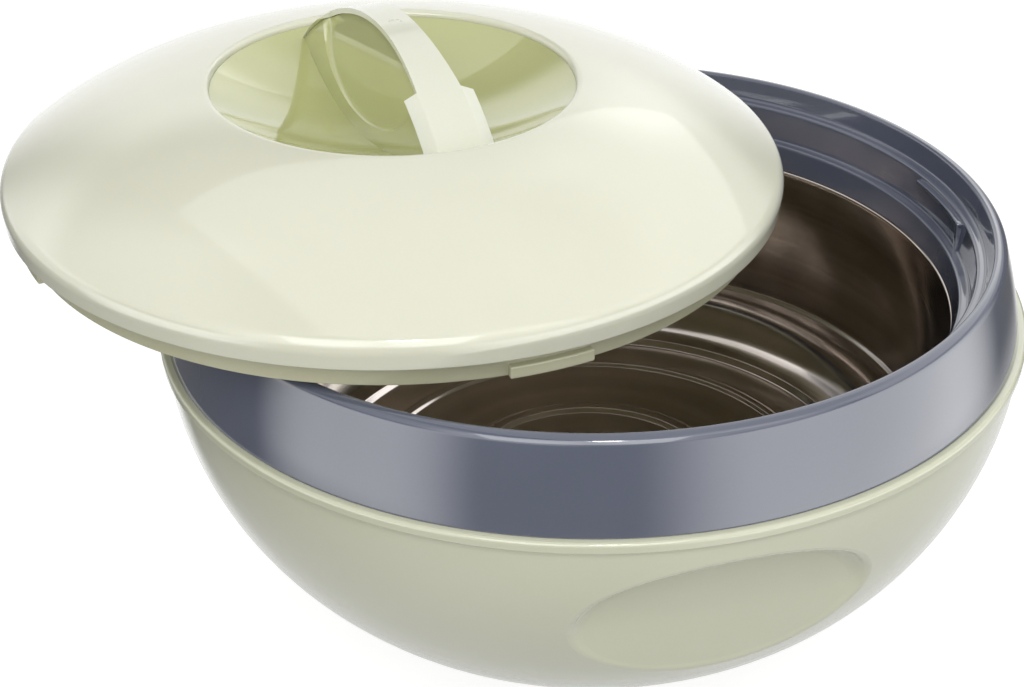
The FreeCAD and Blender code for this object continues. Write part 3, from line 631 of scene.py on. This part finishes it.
def swept_block(name: str, outline: Outline, sweep: float, softness: float) -> bpy.types.Mesh:
    """Make a block whose section follows an arc about the Z axis, with softly closed ends.

    Args:
        name: The mesh's name.
        outline: The closed section.
        sweep: The arc's angle, with its middle on the X axis.
        softness: How far the ends are rounded.

    Returns:
        The closed mesh.
    """
    end_steps, body_step, least_share = 5, math.radians(1.2), 0.1
    points = outline.points()[:-1]
    middle = sum(points, Vector((0, 0))) / len(points)
    ends = []
    for i in range(end_steps + 1):
        lean = math.pi / 2 * i / end_steps
        ends.append((softness / middle.x * (1 - math.sin(lean)), softness * (1 - math.cos(lean))))
    stations = [(-sweep / 2 + along, shrink) for along, shrink in reversed(ends)]
    body_steps = max(2, math.ceil(sweep / body_step))
    start = stations[-1][0]
    stations += [(start - 2 * start * i / body_steps, 0.0) for i in range(1, body_steps)]
    stations += [(-along, shrink) for along, shrink in reversed(stations[:end_steps + 1])]
    vertices, faces = [], []
    for angle, shrink in stations:
        for point in points:
            inward = middle - point
            most = inward.length * (1 - least_share)
            spot = point + inward.normalized() * min(shrink, most)
            vertices.append((spot.x * math.cos(angle), spot.x * math.sin(angle), spot.y))
    count = len(points)
    for row in range(len(stations) - 1):
        for i in range(count):
            here, there = row * count + i, row * count + (i + 1) % count
            faces.append((here, there, there + count, here + count))
    faces.append(tuple(range(count)))
    faces.append(tuple(range(len(vertices) - 1, len(vertices) - 1 - count, -1)))
    mesh = bpy.data.meshes.new(name)
    mesh.from_pydata(vertices, [], faces)
    return mesh


# ----------------------------------------
# Pieces
# ----------------------------------------
def carry_over(node: str, material: bpy.types.Material) -> None:
    """Dress a node of the frame whose shape is right as it is.

    Args:
        node: The node's name.
        material: Its material.
    """
    piece = frame["nodes"][node]
    for number in range(len(piece.material_slots)):
        piece.material_slots[number].material = material
    LOG.info("%s: the frame's own mesh, %d faces", node, len(piece.data.polygons))


def settle(piece: bpy.types.Object, body: Body, node: str) -> None:
    """Let a finished piece ride on its body and stand for its node.

    Args:
        piece: The finished piece.
        body: The body it rides on.
        node: The node that it stands for.
    """
    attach(piece, body.value)
    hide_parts(node)
    LOG.info("%s: %d faces, rides on %s, stands for %s",
             piece.name, len(piece.data.polygons), body.value, node)


@dataclass
class Shell:
    """The bowl's green outer shell with its base plug."""

    finish: MouldedPlastic = MouldedPlastic(
        "shell_plastic", (210, 211, 187), (206, 208, 182), roughness=0.11, coat=0.6)

    def build(self) -> None:
        """Dress the shell and the plug."""
        material = self.finish.material()
        carry_over("outer_shell", material)
        carry_over("base_plug", material)


@dataclass
class Collar:
    """The grey-blue collar: outer band, rounded rim, lid seat, ledge, throat and bayonet ribs."""

    belt_level: float = 101 * MM
    belt_radius: float = 125 * MM
    rim_height: float = 25.5 * MM
    rim_outside: float = 118.9 * MM
    rim_mouth: float = 115.8 * MM
    rim_rounding: float = 2.8 * MM
    rim_lean: float = 1.8 * MM
    edge_rounding: float = 1.0 * MM
    band_bow: float = 170 * MM
    seat_depth: float = 6.6 * MM
    seat_width: float = 2.8 * MM
    pass_depth: float = 10.2 * MM
    pass_lean: float = 1 * MM
    ledge_width: float = 3.1 * MM
    throat_radius: float = 105.75 * MM
    throat_depth: float = 24.8 * MM
    wall: float = 2 * MM
    rim_wall: float = 1 * MM
    rim_hollow: float = 3 * MM
    band_wall: float = 2.4 * MM
    spigot_depth: float = 5.6 * MM
    spigot_radius: float = 122.9 * MM
    spigot_rounding: float = 0.3 * MM
    rib_drop: float = 1.3 * MM
    rib_height: float = 1.6 * MM
    rib_reach: float = 1.8 * MM
    rib_rounding: float = 0.4 * MM
    rib_end: float = 0.35 * MM
    rib_sweep: float = math.radians(16.5)
    rib_start: float = math.radians(-11.7)
    stop_sweep: float = math.radians(1.1)
    rib_count: int = 4
    finish: MouldedPlastic = MouldedPlastic(
        "collar_plastic", (92, 97, 113), (88, 93, 109), roughness=0.1, coat=1.0, soak=0.02)

    def outline(self) -> Outline:
        """Draw the collar's section.

        Returns:
            The closed outline.
        """
        rim = self.belt_level + self.rim_height
        seat, ledge = rim - self.seat_depth, rim - self.seat_depth - self.pass_depth
        throat = rim - self.throat_depth
        seat_out = self.rim_mouth - self.rim_lean
        seat_in = seat_out - self.seat_width
        ledge_out = seat_in - self.pass_lean
        ledge_in = ledge_out - self.ledge_width
        foot = self.belt_level - self.spigot_depth
        small = self.spigot_rounding
        return Outline([
            Corner(self.belt_radius, self.belt_level, small, -self.band_bow),
            Corner(self.rim_outside, rim, self.rim_rounding),
            Corner(self.rim_mouth, rim, self.edge_rounding),
            Corner(seat_out, seat, self.edge_rounding),
            Corner(seat_in, seat, self.edge_rounding),
            Corner(ledge_out, ledge, self.edge_rounding),
            Corner(ledge_in, ledge, self.edge_rounding),
            Corner(self.throat_radius, throat, small),
            Corner(self.throat_radius + self.wall, throat, small),
            Corner(ledge_in + self.wall, ledge - self.wall),
            Corner(seat_in + self.wall, seat - self.wall),
            Corner(seat_out + self.wall, seat - self.wall),
            Corner(self.rim_mouth + self.rim_wall, rim - self.rim_hollow),
            Corner(self.rim_outside - self.rim_wall, rim - self.rim_hollow),
            Corner(self.belt_radius - self.band_wall, self.belt_level + self.wall),
            Corner(self.spigot_radius - self.wall, self.belt_level),
            Corner(self.spigot_radius - self.wall, foot, small),
            Corner(self.spigot_radius, foot, small),
            Corner(self.spigot_radius, self.belt_level),
        ], closed=True)

    def rib_blocks(self) -> list[tuple[str, Outline, float, float]]:
        """Lay out the rib and its stop.

        Returns:
            Name, section, sweep and middle angle of each.
        """
        seat = self.belt_level + self.rim_height - self.seat_depth
        root = self.rim_mouth - self.rim_lean - self.seat_width
        tip, deep = root - self.rib_reach, root + self.wall / 2
        top, foot = seat - self.rib_drop, seat - self.rib_drop - self.rib_height
        floor = seat - self.pass_depth - self.wall / 2
        soft = self.rib_rounding
        rib = Outline([Corner(tip, top, soft), Corner(deep, top),
                       Corner(deep, foot), Corner(tip, foot, soft)], closed=True)
        stop = Outline([Corner(tip, top - soft, soft), Corner(deep, top - soft),
                        Corner(deep, floor), Corner(tip, floor, soft)], closed=True)
        return [("collar_ribs", rib, self.rib_sweep, self.rib_start + self.rib_sweep / 2),
                ("collar_stops", stop, self.stop_sweep, self.rib_start + self.stop_sweep / 2)]

    def build(self, workshop: Workshop) -> None:
        """Build the collar with its ribs and stops.

        Args:
            workshop: What turns the outline and repeats the ribs.
        """
        material = self.finish.material()
        pieces = [workshop.turned("collar_body", self.outline(), material)]
        for name, outline, sweep, middle in self.rib_blocks():
            block = swept_block(name + "_form", outline, sweep, self.rib_end)
            pieces.append(workshop.ring_of(name, block, self.rib_count, middle, material))
        for piece in pieces:
            settle(piece, Body.BOWL, "collar")


@dataclass
class SteelPot:
    """The drawn steel pot: flange, tapered wall with a step, and a floor with two beads."""

    radius: float = 105.4 * MM
    taper: float = 2.6 * MM
    floor: float = 35.5 * MM
    steel: float = 0.8 * MM
    mouth: float = 101.6 * MM
    flange_width: float = 4 * MM
    flange_bend: float = 0.2 * MM
    step_level: float = 19.3 * MM
    step: float = 1.3 * MM
    step_height: float = 1 * MM
    step_rounding: float = 0.5 * MM
    corner: float = 17.5 * MM
    floor_radius: float = 84 * MM
    floor_step: float = 1.8 * MM
    floor_bend: float = 1.5 * MM
    outer_ring: float = 70 * MM
    outer_half_width: float = 2.1 * MM
    inner_ring: float = 41.3 * MM
    inner_half_width: float = 3.2 * MM
    ring_height: float = 0.9 * MM
    ring_rounding: float = 0.8 * MM
    finish: SpunSteel = SpunSteel("pot_steel", (236, 227, 223), (197, 189, 176))

    def bead(self, middle: float, half: float, level: float) -> list[Corner]:
        """Draw a pressed bead in the floor.

        Args:
            middle: Its radius.
            half: Half its width.
            level: The floor's level.

        Returns:
            Its corners from the inside out.
        """
        soft, top = self.ring_rounding, level + self.ring_height
        spots = ((-half, level), (-half / 2, top), (half / 2, top), (half, level))
        return [Corner(middle + off, up, soft) for off, up in spots]

    def face(self, drop: float) -> list[Corner]:
        """Draw the inner face, or the outer one that lies below it.

        Args:
            drop: How far the face lies below the inner one.

        Returns:
            Its corners from the axis to the flange.
        """
        level, top = self.floor - drop, self.mouth - drop
        waist = self.radius - self.taper + drop
        floor_edge = self.floor_radius + drop / 2
        step = self.floor + self.step_level - drop / 2
        return [
            Corner(0.0, level),
            *self.bead(self.inner_ring, self.inner_half_width, level),
            *self.bead(self.outer_ring, self.outer_half_width, level),
            Corner(floor_edge, level, self.floor_bend),
            Corner(floor_edge + self.floor_step, level + self.floor_step, self.floor_bend / 2,
                   -(self.corner + drop)),
            Corner(waist - self.step, step - self.step_height, self.step_rounding),
            Corner(waist, step, self.step_rounding),
            Corner(self.radius + drop, top, self.flange_bend + self.steel - drop),
            Corner(self.radius + self.flange_width, top),
        ]

    def build(self, workshop: Workshop) -> None:
        """Build the pot.

        Args:
            workshop: What turns the outline.
        """
        outside = reversed(self.backwards(self.face(self.steel)))
        outline = Outline([*self.face(0.0), *outside], closed=False)
        piece = workshop.turned("pot_body", outline, self.finish.material())
        settle(piece, Body.BOWL, "inner_pot")

    @staticmethod
    def backwards(corners: list[Corner]) -> list[Corner]:
        """Move each bow to where its side starts on the way back.

        Args:
            corners: The corners on the way out.

        Returns:
            The same corners with the bows moved.
        """
        bows = [0.0] + [corner.bow for corner in corners[:-1]]
        return [Corner(c.out, c.up, c.rounding, -bow) for c, bow in zip(corners, bows)]


def lid_place(bearing: float = math.radians(-80.8)) -> Matrix:
    """Read the lid's place from the frame.

    Args:
        bearing: Where the handle points, about the lid's own axis.

    Returns:
        The transform from the lid's own axes to its place.
    """
    turn = next(joint for joint in frame["joints"] if joint["name"] == "lid_turn")
    lean = Vector((0, 0, 1)).rotation_difference(Vector(turn["axis"])).to_matrix().to_4x4()
    return Matrix.Translation(turn["pos_m"]) @ lean @ Matrix.Rotation(bearing, 4, "Z")


@dataclass
class LidDome:
    """The lid's cream dome with its rounded edge and the opening for the dish."""

    radius: float = 113.29 * MM
    draft: float = 0.6 * MM
    edge: float = 6.9 * MM
    edge_rounding: float = 5 * MM
    foot_rounding: float = 0.5 * MM
    inner_rounding: float = 0.3 * MM
    inner_edge: float = 5.9 * MM
    bow: float = 124 * MM
    opening: float = 52.63 * MM
    opening_level: float = 31.4 * MM
    opening_rounding: float = 1.8 * MM
    wall: float = 2.4 * MM
    finish: MouldedPlastic = MouldedPlastic(
        "lid_plastic", (222, 222, 203), (219, 219, 199), roughness=0.11, coat=0.7, soak=0.2)

    def build(self, workshop: Workshop, place: Matrix) -> None:
        """Build the dome where the lid lies.

        Args:
            workshop: What turns the outline.
            place: The lid's place.
        """
        small, widest = self.inner_rounding, self.radius + self.draft
        outline = Outline([
            Corner(self.radius, 0.0, self.foot_rounding),
            Corner(widest, self.edge, self.edge_rounding, -self.bow),
            Corner(self.opening, self.opening_level, self.opening_rounding),
            Corner(self.opening, self.opening_level - self.wall, small, self.bow - self.wall),
            Corner(widest - self.wall, self.inner_edge),
            Corner(self.radius - self.wall, 0.0, small),
        ], closed=True)
        piece = workshop.turned("lid_dome", outline, self.finish.material())
        piece.data.transform(place)
        settle(piece, Body.LID, "lid_shell")


@dataclass
class LidLiner:
    """The lid's lower moulding: skirt with bayonet tabs, underside and the rim inside the dome."""

    skirt: float = 108 * MM
    skirt_depth: float = 7.4 * MM
    wall: float = 2.4 * MM
    plate_level: float = 3.4 * MM
    plate_rise: float = 1.2 * MM
    plate_wall: float = 2 * MM
    rim_radius: float = 110.6 * MM
    rim_top: float = 2.5 * MM
    fit: float = 0.3 * MM
    joint_rounding: float = 0.3 * MM
    skirt_rounding: float = 0.4 * MM
    plate_rounding: float = 0.8 * MM
    tab_reach: float = 2.1 * MM
    tab_height: float = 3.5 * MM
    tab_rounding: float = 0.5 * MM
    tab_sweep: float = math.radians(12.4)
    tab_turn: float = math.radians(-0.7)
    tab_count: int = 4
    finish: MouldedPlastic = MouldedPlastic(
        "liner_plastic", (204, 203, 174), (200, 199, 168), soak=0.2)

    def build(self, workshop: Workshop, place: Matrix) -> None:
        """Build the liner with its tabs where the lid lies.

        Args:
            workshop: What turns the outline and repeats the tab.
            place: The lid's place.
        """
        material = self.finish.material()
        middle, inside = self.plate_rise - self.plate_level, self.skirt - self.wall
        outline = Outline([
            Corner(0.0, middle + self.plate_wall),
            Corner(inside, self.plate_wall - self.plate_level),
            Corner(inside, self.rim_top),
            Corner(self.rim_radius, self.rim_top),
            Corner(self.rim_radius, self.fit),
            Corner(self.skirt, self.fit, self.joint_rounding),
            Corner(self.skirt, -self.skirt_depth, self.skirt_rounding),
            Corner(inside, -self.skirt_depth, self.skirt_rounding),
            Corner(inside, -self.plate_level, self.plate_rounding),
            Corner(0.0, middle),
        ], closed=False)
        foot, top = -self.skirt_depth, self.tab_height - self.skirt_depth
        root, tip = self.skirt - self.wall / 2, self.skirt + self.tab_reach
        soft = self.tab_rounding
        tab = Outline([Corner(root, foot), Corner(tip, foot, soft), Corner(tip, top, soft),
                       Corner(root, top)], closed=True)
        block = swept_block("tab_form", tab, self.tab_sweep, soft)
        tabs = ("liner_tabs", block, self.tab_count, self.tab_turn, material)
        for piece in (workshop.turned("liner_body", outline, material), workshop.ring_of(*tabs)):
            piece.data.transform(place)
            settle(piece, Body.LID, "lid_liner")


@dataclass
class LidTop:
    """The olive dish with the handle's web and scoops, and the cream strap over it."""

    dish_finish: MouldedPlastic = MouldedPlastic(
        "dish_plastic", (190, 193, 138), (186, 189, 133), roughness=0.08, coat=0.9, soak=0.15)
    strap_finish: MouldedPlastic = MouldedPlastic(
        "strap_plastic", (224, 225, 208), (220, 221, 203), soak=0.2)

    def build(self) -> None:
        """Dress the dish and the strap."""
        carry_over("lid_dish", self.dish_finish.material())
        carry_over("handle_strap", self.strap_finish.material())


@dataclass
class Insulation:
    """The foam inside the bowl and the lid, which the walls hide."""

    finish: RigidFoam = RigidFoam("insulating_foam", (226, 214, 168), (205, 190, 140))

    def build(self) -> None:
        """Dress both foam fillings."""
        material = self.finish.material()
        for node in ("bowl_foam", "lid_foam"):
            carry_over(node, material)


# ----------------------------------------
# Studio
# ----------------------------------------
@dataclass(frozen=True)
class Softbox:
    """A rectangular lamp that faces a point."""

    name: str
    place: tuple[float, float, float]
    aim: tuple[float, float, float]
    width: float
    height: float
    power: float

    def build(self) -> None:
        """Hang the lamp."""
        lamp = bpy.data.lights.new(self.name, "AREA")
        lamp.shape = "RECTANGLE"
        lamp.size = self.width
        lamp.size_y = self.height
        lamp.energy = self.power
        holder = bpy.data.objects.new(self.name, lamp)
        holder.location = self.place
        way = Vector(self.aim) - Vector(self.place)
        holder.rotation_euler = way.to_track_quat("-Z", "Y").to_euler()
        bpy.context.scene.collection.objects.link(holder)


@dataclass(frozen=True)
class Panel:
    """A soft bright panel in the surroundings.

    Its bearing, half width and fade are degrees about the Z axis, and it lies between two heights
    of the direction towards it, which run from minus one below to one above.
    """

    bearing: float
    spread: float
    low: float
    top: float
    strength: float
    fade: float = 10.0
    height_fade: float = 0.08

    def light(self, tree: Tree, flat_way: bpy.types.NodeSocket,
              up: bpy.types.NodeSocket) -> bpy.types.NodeSocket:
        """Work out the panel's light in a direction.

        Args:
            tree: The world's tree.
            flat_way: The direction's level part, at length one.
            up: The direction's height.

        Returns:
            The socket with its strength.
        """
        bearing, spread, fade = map(math.radians, (self.bearing, self.spread, self.fade))
        middle = (math.cos(bearing), math.sin(bearing), 0.0)
        towards = tree.add("ShaderNodeVectorMath", {0: flat_way, 1: middle},
                           operation="DOT_PRODUCT").outputs["Value"]
        light = self.strength
        for value, start, full in (
                (towards, math.cos(spread + fade), math.cos(spread - fade)),
                (up, self.low - self.height_fade, self.low + self.height_fade),
                (up, self.top + self.height_fade, self.top - self.height_fade)):
            light = tree.math("MULTIPLY", tree.scaled(value, (start, full), soft=True), light)
        return light


@dataclass
class Studio:
    """The pale floor, the lamps, the surroundings and the camera."""

    camera_place: tuple[float, float, float] = (-0.1625, -0.5088, 0.3946)
    camera_forward: tuple[float, float, float] = (0.2267, 0.8344, -0.5024)
    camera_right: tuple[float, float, float] = (0.9623, -0.2714, -0.0166)
    camera_reach: float = 0.02
    lens: float = 71.81
    ambient: float = 0.14
    floor_reach: float = 0.8
    floor_steps: int = 96
    floor_drop: float = 0.2 * MM
    floor_grey: float = 0.34
    floor_roughness: float = 0.9
    floor_glow: float = 0.84
    mirrored_middle: tuple[float, float, float] = (0.06, -0.06, 0.0)
    mirrored_reach: tuple[float, float] = (0.16, 0.32)
    mirrored_glow: float = 0.55
    panel_share: float = 0.5
    panels: tuple[Panel, ...] = (
        Panel(-37, 43, -1.2, 0.25, 2.35, fade=18),
        Panel(-167, 18, -0.35, 0.25, 2.2, fade=16),
        Panel(78, 26, -1.2, 0.5, 0.95),
        Panel(142, 25, -0.06, 0.5, 0.95),
        Panel(-105, 60, -1.2, 0.8, 0.18),
        Panel(15, 45, 0.25, 0.75, 0.55),
        Panel(170, 45, 0.4, 0.9, 0.7),
        Panel(-130, 16, 0.2, 0.8, 1.2),
        Panel(-88, 12, 0.3, 0.85, 1.1),
        Panel(-55, 12, 0.35, 0.9, 1.0),
    )
    lamps: tuple[Softbox, ...] = (
        Softbox("key_softbox", (0.5, 0.1, 1.3), (0.0, 0.0, 0.08), 2.6, 2.2, power=12.3),
        Softbox("fill_softbox", (-0.4, -1.1, 1.1), (0.0, 0.0, 0.08), 1.2, 1.0, power=8.3),
        Softbox("small_softbox", (-0.18, -0.84, 1.33), (0.0, 0.0, 0.1), 0.14, 0.1, power=2.0),
    )

    def build(self) -> None:
        """Set up the whole studio."""
        self.floor()
        self.sky()
        for lamp in self.lamps:
            lamp.build()
        self.camera()
        bpy.context.scene.view_settings.view_transform = "Standard"

    def floor(self) -> None:
        """Lay the pale floor."""
        mesh = bpy.data.meshes.new("studio_floor")
        turns = (2 * math.pi * i / self.floor_steps for i in range(self.floor_steps))
        ring = [(self.floor_reach * math.cos(turn), self.floor_reach * math.sin(turn),
                 -self.floor_drop) for turn in turns]
        mesh.from_pydata(ring, [], [tuple(range(self.floor_steps))])
        mesh.materials.append(self.floor_material())
        floor = bpy.data.objects.new("studio_floor", mesh)
        bpy.context.scene.collection.objects.link(floor)

    def floor_material(self) -> bpy.types.Material:
        """Build the floor's material, white to the camera and in reflections of what is near.

        Returns:
            The new material.
        """
        material, tree, shader = new_material("studio_white")
        tree.feed(shader, {"Base Color": (*[self.floor_grey] * 3, 1.0),
                           "Roughness": self.floor_roughness})
        seen = tree.add("ShaderNodeLightPath").outputs
        seen_glow = tree.math("MULTIPLY", seen["Is Camera Ray"], self.floor_glow)
        strength = tree.math("MULTIPLY_ADD", seen["Is Glossy Ray"], self.mirrored_glow, seen_glow)
        glow = tree.add("ShaderNodeEmission", {"Color": WHITE, "Strength": strength})
        both = tree.add("ShaderNodeAddShader", {0: shader.outputs[0], 1: glow.outputs[0]})
        place = tree.add("ShaderNodeTexCoord").outputs["Object"]
        away = tree.add("ShaderNodeVectorMath", {0: place, 1: self.mirrored_middle},
                        operation="DISTANCE").outputs["Value"]
        fade = tree.scaled(away, self.mirrored_reach, soft=True)
        gone = tree.math("MULTIPLY", fade, seen["Is Glossy Ray"])
        clear = tree.add("ShaderNodeBsdfTransparent")
        mix = tree.add("ShaderNodeMixShader", {0: gone, 1: both.outputs[0], 2: clear.outputs[0]})
        tree.feed(material.node_tree.nodes["Material Output"], {"Surface": mix.outputs[0]})
        return material

    def sky(self) -> None:
        """Surround the stage: white to the camera, and else grey with soft bright panels."""
        world = bpy.data.worlds.new("studio_sky")
        world.use_nodes = True
        bpy.context.scene.world = world
        tree = Tree(world.node_tree)
        plain = world.node_tree.nodes["Background"]
        place = tree.add("ShaderNodeTexCoord").outputs["Generated"]
        way = tree.add("ShaderNodeSeparateXYZ", {0: place}).outputs
        level = tree.add("ShaderNodeCombineXYZ", {"X": way["X"], "Y": way["Y"]})
        flat_way = tree.add("ShaderNodeVectorMath", {0: level.outputs[0]}, operation="NORMALIZE")
        seen = tree.add("ShaderNodeLightPath").outputs
        gain = tree.math("MULTIPLY_ADD", seen["Is Glossy Ray"], 1 - self.panel_share,
                         self.panel_share)
        light = self.ambient
        for panel in self.panels:
            share = panel.light(tree, flat_way.outputs[0], way["Z"])
            light = tree.math("MULTIPLY_ADD", share, gain, light)
        tree.feed(plain, {"Color": WHITE, "Strength": light})
        white = tree.add("ShaderNodeBackground", {"Color": WHITE, "Strength": 1.0})
        mix = tree.add("ShaderNodeMixShader", {
            0: seen["Is Camera Ray"], 1: plain.outputs[0], 2: white.outputs[0]})
        tree.feed(world.node_tree.nodes["World Output"], {"Surface": mix.outputs[0]})

    def camera(self) -> None:
        """Place the camera."""
        forward, right = Vector(self.camera_forward).normalized(), Vector(self.camera_right)
        right = (right - forward * right.dot(forward)).normalized()
        up = right.cross(forward)
        eye = bpy.data.cameras.new("camera")
        eye.lens = self.lens
        eye.clip_start = self.camera_reach
        holder = bpy.data.objects.new("camera", eye)
        turn = Matrix((right, up, -forward)).transposed().to_4x4()
        holder.matrix_world = Matrix.Translation(self.camera_place) @ turn
        bpy.context.scene.collection.objects.link(holder)
        bpy.context.scene.camera = holder


def main() -> None:
    """Build the casserole's pieces and the studio."""
    logging.basicConfig(level=logging.INFO, format="%(message)s")
    workshop = Workshop()
    place = lid_place()
    Shell().build()
    Collar().build(workshop)
    SteelPot().build(workshop)
    LidDome().build(workshop, place)
    LidLiner().build(workshop, place)
    LidTop().build()
    Insulation().build()
    Studio().build()


if __name__ == "__main__":
    main()
